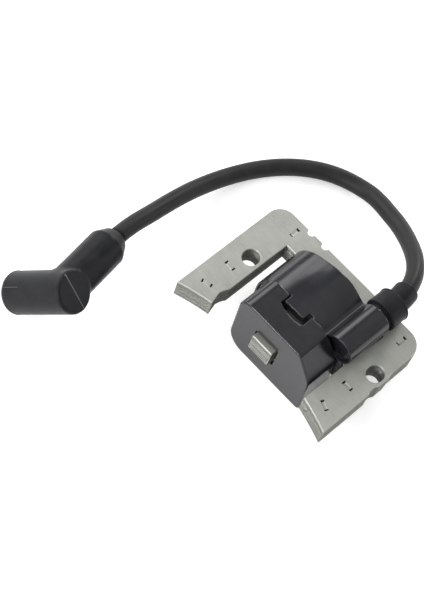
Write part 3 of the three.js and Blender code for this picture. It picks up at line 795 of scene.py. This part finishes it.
def rear_shell_field(x, y, z):
    front, rear = BARREL_FRONT, SHELL_HIGH[1]
    barrel = crowned_barrel(x, y, z)
    tower = from_tower_axis(x, z)
    section = union(barrel, tower - TOWER["radius"], TOWER["fillet"])
    solid = common(common(section, front - y, SHELL_EDGE["front"]), y - rear, SHELL_EDGE["rear"])
    tab = slab(x, TAB["left"], TAB["right"])
    tab = common(tab, slab(y, TAB["front"], front + LAP), SHELL_EDGE["tab"])
    solid = union(solid, common(tab, barrel, SHELL_EDGE["tab_top"]), SHARP)
    solid = union(solid, foot_field(x, y, z), SHELL_EDGE["foot"])
    inner = barrel_section(x, z)
    hollow = np.maximum(inner + WALL, y - BARREL_INNER_REAR)
    mouth = np.maximum(inner + REBATE["wall"], y - REBATE["rear"])
    solid = without(solid, np.minimum(hollow, mouth), SHELL_EDGE["mouth"])
    yoke = np.maximum(SLOT_REAR - CORE_CLEARANCE - y, core_layer(z))
    solid = without(solid, yoke, SHELL_EDGE["core"])
    solid = np.maximum(solid, -np.maximum(leg_passage(x, z), BARREL_INNER_REAR - CUT_PAST - y))
    bore = np.maximum(tower - TOWER["bore"], TOWER["bore_end"] - y)
    solid = without(solid, bore, SHELL_EDGE["bore"])
    dish = np.maximum(tower - DISH["radius"], y - front - DISH["depth"])
    return without(solid, dish, SHELL_EDGE["dish"])


def cover_section(x, z, inset=0.0):
    """Distance to the cover's section: rounded on the left, with a slanted right shoulder."""
    top = z - COVER_HIGH[2] + inset
    bottom = COVER_LOW[2] - z + inset
    flats = (COVER_FLATS[name] for name in ("left", "right", "shoulder"))
    left, right, shoulder = (plane(x, 0, z, *flat) + inset for flat in flats)
    bottom_right = max(COVER_BEND["bottom_right"] - inset, COVER_BEND["bottom_right_inside"])
    corners = (
        common(left, top, COVER_BEND["top_left"] - inset),
        common(left, bottom, COVER_BEND["bottom_left"] - inset),
        common(right, bottom, bottom_right),
        common(right, shoulder, COVER_BEND["shoulder"]),
        common(shoulder, top, COVER_BEND["shoulder"]),
    )
    return np.maximum.reduce(corners)


def cover_field(x, y, z):
    front, rear = COVER_LOW[1], COVER_HIGH[1]
    rim = COVER_EDGE["rim"]
    solid = common(common(cover_section(x, z), front - y, COVER_EDGE["front"]), y - rear, rim)
    solid = common(solid, plane(x, y, z, *COVER_FLATS["rear_corner"]), rim)
    notch = np.maximum(slab(x, RIM_NOTCH["left"], RIM_NOTCH["right"]), RIM_NOTCH["bottom"] - z)
    round_front = np.hypot(x - RIM_NOTCH["arc_x"], y - RIM_NOTCH["arc_y"]) - RIM_NOTCH["arc_radius"]
    solid = without(solid, np.maximum(notch, round_front), rim)
    inner = cover_section(x, z, WALL)
    cavity = np.maximum(inner, slab(y, front + WALL, rear - WALL))
    throat = np.maximum(np.maximum(inner, barrel_section(x, z) + WALL), rear - WALL - CUT_PAST - y)
    solid = without(solid, np.minimum(cavity, throat), COVER_EDGE["inside"])
    window = slab(x, WINDOW["left"], WINDOW["right"])
    window = np.maximum(window, slab(z, WINDOW["bottom"], WINDOW["top"]))
    return without(solid, np.maximum(window, y - front - WALL - CUT_PAST), COVER_EDGE["window"])


def resin_field(x, y, z):
    depth = slab(y, RESIN["front"], RESIN["rear"])
    plate = common(barrel_section(x, z) + RESIN["inset"], depth, RESIN["edge"])
    return without(plate, leg_passage(x, z), RESIN["leg_edge"])


add_field("rear_shell_skin", rear_shell_field, (SHELL_LOW[0], TAB["front"], SHELL_LOW[2]),
          SHELL_HIGH, CELL["shell"], "casing", replaces=["rear_shell"])
add_field("front_cover_skin", cover_field, COVER_LOW, COVER_HIGH,
          CELL["cover"], "casing", replaces=["front_cover"])
add_field("resin_fill", resin_field, (SHELL_LOW[0], RESIN["front"], SHELL_LOW[2]),
          (-SHELL_LOW[0], RESIN["rear"], RESIN["top"]), CELL["resin"], "resin",
          replaces=["casting_resin"])

# ---------------------------------------------------------------- lead and its collar


def route_points(count):
    """Points along the clamped cubic spline of the lead's route."""
    degree = 3
    control = np.array(LEAD_ROUTE, float)
    spans = len(control) - degree
    knots = np.clip(np.arange(-degree, spans + degree + 1) / spans, 0, 1)
    points = []
    for t in np.linspace(0, 1, count):
        k = min(max(int(t * spans), 0), spans - 1) + degree
        d = [control[k - degree + j] for j in range(degree + 1)]
        for r in range(1, degree + 1):
            for j in range(degree, r - 1, -1):
                low, high = knots[k - degree + j], knots[j + 1 + k - r]
                share = (t - low) / (high - low)
                d[j] = (1 - share) * d[j - 1] + share * d[j]
        points.append(d[degree])
    return np.array(points)


def evenly(points, spacing):
    """The same line with points a set distance apart, and its length."""
    steps = np.linalg.norm(np.diff(points, axis=0), axis=1)
    along = np.concatenate([[0], np.cumsum(steps)])
    count = int(round(along[-1] / spacing)) + 1
    at = np.linspace(0, along[-1], count)
    return np.stack([np.interp(at, along, points[:, n]) for n in range(3)], 1), along[-1]


LEAD_LINE, LEAD_LENGTH = evenly(route_points(LEAD_SAMPLES), LEAD_STEP)


def tube_mesh(line, radius, sides, steep=0.9):
    """A closed tube along a line, on frames that don't twist. A steep one's frames start from X."""
    ahead = np.gradient(line, axis=0)
    ahead /= np.linalg.norm(ahead, axis=1)[:, None]
    side = np.cross(ahead[0], (0, 0, 1.0) if abs(ahead[0][2]) < steep else (1.0, 0, 0))
    vertices, faces = [], []
    for point, forward in zip(line, ahead):
        side = side - forward * (side @ forward)
        side /= np.linalg.norm(side)
        up = np.cross(side, forward)
        for angle in np.arange(sides) * 2 * math.pi / sides:
            vertices.append(point + radius * (math.cos(angle) * side + math.sin(angle) * up))
    for i in range(len(line) - 1):
        for j in range(sides):
            a, b = i * sides + j, i * sides + (j + 1) % sides
            faces.append((a, a + sides, b + sides, b))
    faces.append(tuple(range(sides)))
    faces.append(tuple(reversed(range((len(line) - 1) * sides, len(line) * sides))))
    return vertices, faces


def line_distance(x, y, z, line):
    """Distance to a line through several points."""
    best = np.full(np.shape(x), np.inf)
    for a, b in zip(line, line[1:]):
        d = b - a
        dx, dy, dz = x - a[0], y - a[1], z - a[2]
        t = np.clip((dx * d[0] + dy * d[1] + dz * d[2]) / (d @ d), 0, 1)
        gap = np.sqrt((dx - t * d[0]) ** 2 + (dy - t * d[1]) ** 2 + (dz - t * d[2]) ** 2)
        best = np.minimum(best, gap)
    return best


# The sleeve's line runs on a few points past its last one, so that its end is cut square.
SLEEVE_LAST = round(SLEEVE["length"] / LEAD_STEP)
SLEEVE_LINE = LEAD_LINE[:SLEEVE_LAST + SLEEVE["points_past"]]
SLEEVE_END = LEAD_LINE[SLEEVE_LAST]
SLEEVE_AHEAD = LEAD_LINE[SLEEVE_LAST + 1] - SLEEVE_END


def grommet_field(x, y, z):
    """The collar on the tower's rear end, and the sleeve that carries on round the lead."""
    around = from_tower_axis(x, z)
    behind = y - COLLAR["rear"]
    wall = around - COLLAR["radius"]
    taper = COLLAR["taper"] * (y - COLLAR["step"])
    collar = common(wall + taper, COLLAR["step"] - y, COLLAR["step_edge"])
    collar = common(collar, behind, COLLAR["rear_edge"])
    bead = np.hypot(wall + COLLAR_BEAD["in"], behind + COLLAR_BEAD["ahead"]) - COLLAR_BEAD["radius"]
    collar = union(collar, bead, COLLAR_BEAD["fillet"])
    neck = np.maximum(around - COLLAR["neck"], slab(y, COLLAR["front"], COLLAR["step"] + LAP))
    collar = union(collar, neck, COLLAR["neck_fillet"])
    collar = np.maximum(collar, -np.maximum(around - COLLAR["well"], behind + COLLAR["well_depth"]))
    reach = line_distance(x, y, z, SLEEVE_LINE)
    past = plane(x, y, z, SLEEVE_END, SLEEVE_AHEAD)
    sleeve = common(reach - SLEEVE["radius"], past, SLEEVE["edge"])
    lip = np.maximum(reach - LEAD_RADIUS - SLEEVE["lip_gap"], -SLEEVE["lip_depth"] - past)
    sleeve = without(sleeve, lip, SLEEVE["lip_edge"])
    sleeve = np.maximum(sleeve, COLLAR["rear"] - SLEEVE["sunk"] - y)
    return union(collar, sleeve, SLEEVE["fillet"])


lead = add_piece("lead_jacket", *tube_mesh(LEAD_LINE, LEAD_RADIUS, LEAD_SIDES), "lead_rubber",
                 replaces=["ht_lead"])
grommet = add_field("grommet_skin", grommet_field, *node_box("lead_grommet"), CELL["collar"],
                    "boot_rubber", replaces=["lead_grommet"])

# ---------------------------------------------------------------- plug boot


def boot_place():
    """The boot's own axes: lead limb along X, plug limb along -Z."""
    heading, slope, side_heading = BOOT["heading"], BOOT["slope"], BOOT["side_heading"]
    level = math.cos(slope)
    plug = Vector((level * math.cos(heading), level * math.sin(heading), math.sin(slope)))
    side = Vector((math.cos(side_heading), math.sin(side_heading), 0))
    side.z = -(side.x * plug.x + side.y * plug.y) / plug.z
    side.normalize()
    up = -plug
    across = up.cross(side)
    place = Matrix((side, across, up)).transposed().to_4x4()
    place.translation = Vector(BOOT["corner"])
    return place


def boot_field(x, y, z):
    """The boot in its own axes: a plug limb with its cap, and a lead limb with a tapered tip."""
    around_plug = np.hypot(x, y)
    around_lead = np.hypot(y, z)
    side_end, shoulder = BOOT["side_end"], BOOT["side_shoulder"]
    plug = common(around_plug - BOOT["radius"], z - BOOT["cap"], BOOT["cap_edge"])
    plug = common(plug, -BOOT["mouth"] - z, BOOT_EDGE["mouth"])
    side = around_lead - BOOT["side_radius"]
    limb = common(side, -x, BOOT_EDGE["side_start"])
    drop, run = BOOT["side_radius"] - BOOT["side_tip_radius"], side_end - shoulder
    taper = (side * run + (x - shoulder) * drop) / math.hypot(drop, run)
    limb = common(limb, taper, BOOT_EDGE["side_shoulder"])
    limb = common(limb, x - side_end, BOOT_EDGE["side_end"])
    flat_start = (BOOT["radius"], 0, BOOT["cap"] - BOOT_FLAT["below_cap"])
    flat = plane(x, y, z, flat_start, (BOOT_FLAT["slope"], 0, 1))
    limb = common(limb, flat, BOOT_EDGE["flat"])
    solid = union(plug, limb, BOOT_EDGE["elbow"])
    socket = np.maximum(around_plug - BOOT["bore"], z - BOOT["bore_end"])
    solid = without(solid, socket, BOOT_EDGE["socket"])
    bore = np.maximum(around_lead - BOOT["side_bore"], BOOT["side_bore_from"] - x)
    solid = np.maximum(solid, -np.maximum(bore, x - side_end + BOOT["side_wall"]))
    lip = np.maximum(around_lead - LEAD_RADIUS - BOOT_LIP["gap"], side_end - BOOT_LIP["depth"] - x)
    return without(solid, lip, BOOT_EDGE["lip"])


BOOT_PLACE = boot_place()
boot = add_field("boot_skin", boot_field, (-BOOT["radius"], -BOOT["radius"], -BOOT["mouth"]),
                 (BOOT["side_end"], BOOT["radius"], BOOT["radius"]), CELL["boot"], "boot_rubber",
                 place=BOOT_PLACE, body=BOOT_BODY, replaces=["plug_boot"])


def add_seam(name, line, radius):
    """A thin raised line left by the mould, through points in the boot's axes."""
    vertices, faces = tube_mesh(np.array(line, float), radius, SEAM_SIDES)
    vertices = [BOOT_PLACE @ Vector(v) for v in vertices]
    return add_piece(name, vertices, faces, "boot_rubber", body=BOOT_BODY, finish="pale_seam_rubber")


def cap_point(y):
    """Point on the cap's surface, along the diameter that the mould's halves met on."""
    edge = BOOT["cap_edge"]
    over = max(abs(y) - BOOT["radius"] + edge, 0)
    return 0, y, BOOT["cap"] - edge + math.sqrt(edge ** 2 - over ** 2)


def flash_point(z):
    """Point on the plug limb's side, where the mould left a line of flash."""
    return BOOT["radius"] * FLASH_LINE["x"], BOOT["radius"] * FLASH_LINE["y"], z


def mouth_point(angle):
    """Point on the ring round the boot's mouth."""
    height = MOUTH_BEAD["above_mouth"] - BOOT["mouth"]
    return BOOT["radius"] * math.cos(angle), BOOT["radius"] * math.sin(angle), height


across = np.linspace(-CAP_SEAM["half"], CAP_SEAM["half"], CAP_SEAM["points"])
cap_seam = add_seam("cap_seam", [cap_point(y) for y in across], CAP_SEAM["radius"])
upward = np.linspace(FLASH_LINE["low"], FLASH_LINE["high"], FLASH_LINE["points"])
flash = add_seam("flash_line", [flash_point(z) for z in upward], FLASH_LINE["radius"])
angles = np.linspace(0, 2 * math.pi, MOUTH_BEAD["points"])
mouth_bead = add_seam("mouth_bead", [mouth_point(a) for a in angles], MOUTH_BEAD["radius"])

# ---------------------------------------------------------------- CAD nodes that stay

KEPT = {
    "primary_bobbin": "bobbin", "primary_winding": "winding",
    "secondary_bobbin": "bobbin", "secondary_winding": "winding",
    "charge_coil_bobbin": "bobbin", "charge_coil_winding": "winding",
    "trigger_coil": "winding", "circuit_board": "board", "capacitor": "component",
    "thyristor": "resin", "diode": "component", "resistor": "component", "ground_strap": "terminal",
    "tower_terminal": "terminal", "lead_tower_end": "lead_rubber", "lead_boot_end": "lead_rubber",
    "plug_clip": "terminal", "plug_spike": "terminal",
}


def dress_kept_nodes():
    """Materials and a small bevel on the nodes that nothing replaces."""
    for node, slot in KEPT.items():
        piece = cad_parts[node]
        piece.data.materials.clear()
        piece.data.materials.append(MATERIALS[slot])
        bevel = piece.modifiers.new("soft_edges", "BEVEL")
        bevel.width = NODE_BEVEL["width"] * MM
        bevel.segments = NODE_BEVEL["segments"]
        bevel.limit_method = "ANGLE"
        bevel.angle_limit = NODE_BEVEL["angle"]


dress_kept_nodes()

# ---------------------------------------------------------------- floor and light

FLOOR = {"half": 2.5, "dark": (0.86, 0.86, 0.86), "light": (0.88, 0.88, 0.88), "glow": 0.28}
# How bright the sky is at each height, and a darker upright band in it, left of the middle.
SKY = {"horizon": 0.42, "zenith": 0.78, "low": 0.1, "high": 0.95}
SKY_BAND = {"x": -0.42, "inner": 0.05, "outer": 0.17, "share": 0.55}
WHITE = (1, 1, 1, 1)

LIT_POINT = Vector((-0.02, 0, 0.02))
# Soft lights: direction from the lit point, distance and size in metres, and radiance.
LIGHTS = {
    "key": ((-0.76, 0.44, 0.48), 1.1, (0.45, 0.45), 3.3),
    "fill": ((-0.85, -0.15, 0.52), 1.2, (1.0, 0.8), 4.8),
    "right": ((0.62, 0.74, 0.22), 1.1, (0.5, 0.4), 3.5),
    "over_front": ((0.0, -0.44, 0.87), 1.0, (0.6, 0.16), 4.0),
    "front": ((-0.24, -0.87, 0.44), 1.0, (0.22, 0.24), 30.0),
    "low_front": ((0.17, -0.86, 0.46), 1.0, (0.16, 0.2), 22.0),
    "back": ((-0.24, 0.9, 0.36), 1.0, (0.2, 0.2), 30.0),
}


def build_floor():
    n = material_nodes("floor_white")
    tone = n.spread(n.noise(n.coordinates(), scale=0.02), 0, 1)
    colour = n.blend(tone, FLOOR["dark"], FLOOR["light"])
    n.finish(colour, Roughness=0.9, Emission_Color=WHITE, Emission_Strength=FLOOR["glow"])
    half = FLOOR["half"]
    corners = [(-half, -half, 0), (half, -half, 0), (half, half, 0), (-half, half, 0)]
    mesh = bpy.data.meshes.new("floor")
    mesh.from_pydata(corners, [], [(0, 1, 2, 3)])
    mesh.materials.append(n.owner)
    floor = bpy.data.objects.new("floor", mesh)
    bpy.context.scene.collection.objects.link(floor)


def build_sky():
    """A studio's pale ceiling over darker walls, with a darker band on the left."""
    world = bpy.data.worlds.new("studio")
    n = Nodes(world)
    split = n.add("ShaderNodeSeparateXYZ")
    n.link(n.add("ShaderNodeTexCoord").outputs["Generated"], split.inputs["Vector"])
    height = n.spread(split.outputs["Z"], SKY["horizon"], SKY["zenith"], from_low=SKY["low"],
                      from_high=SKY["high"], interpolation_type="SMOOTHSTEP")
    away = n.combine("ABSOLUTE", n.combine("SUBTRACT", split.outputs["X"], SKY_BAND["x"]))
    band = n.spread(away, SKY_BAND["share"], 1.0, from_low=SKY_BAND["inner"],
                    from_high=SKY_BAND["outer"], interpolation_type="SMOOTHSTEP")
    background = n.tree.nodes["Background"]
    n.link(n.combine("MULTIPLY", height, band), background.inputs["Strength"])
    background.inputs["Color"].default_value = WHITE
    bpy.context.scene.world = world


def add_light(name, toward, distance, size, radiance):
    """A rectangular area light that faces the lit point."""
    data = bpy.data.lights.new(name, "AREA")
    data.shape = "RECTANGLE"
    data.size, data.size_y = size
    data.energy = radiance * math.pi * size[0] * size[1]
    light = bpy.data.objects.new(name, data)
    toward = Vector(toward).normalized()
    light.location = LIT_POINT + toward * distance
    light.rotation_euler = (-toward).to_track_quat("-Z", "Y").to_euler()
    bpy.context.scene.collection.objects.link(light)


build_floor()
build_sky()
for name, values in LIGHTS.items():
    add_light(name, *values)
bpy.context.scene.view_settings.view_transform = "Standard"
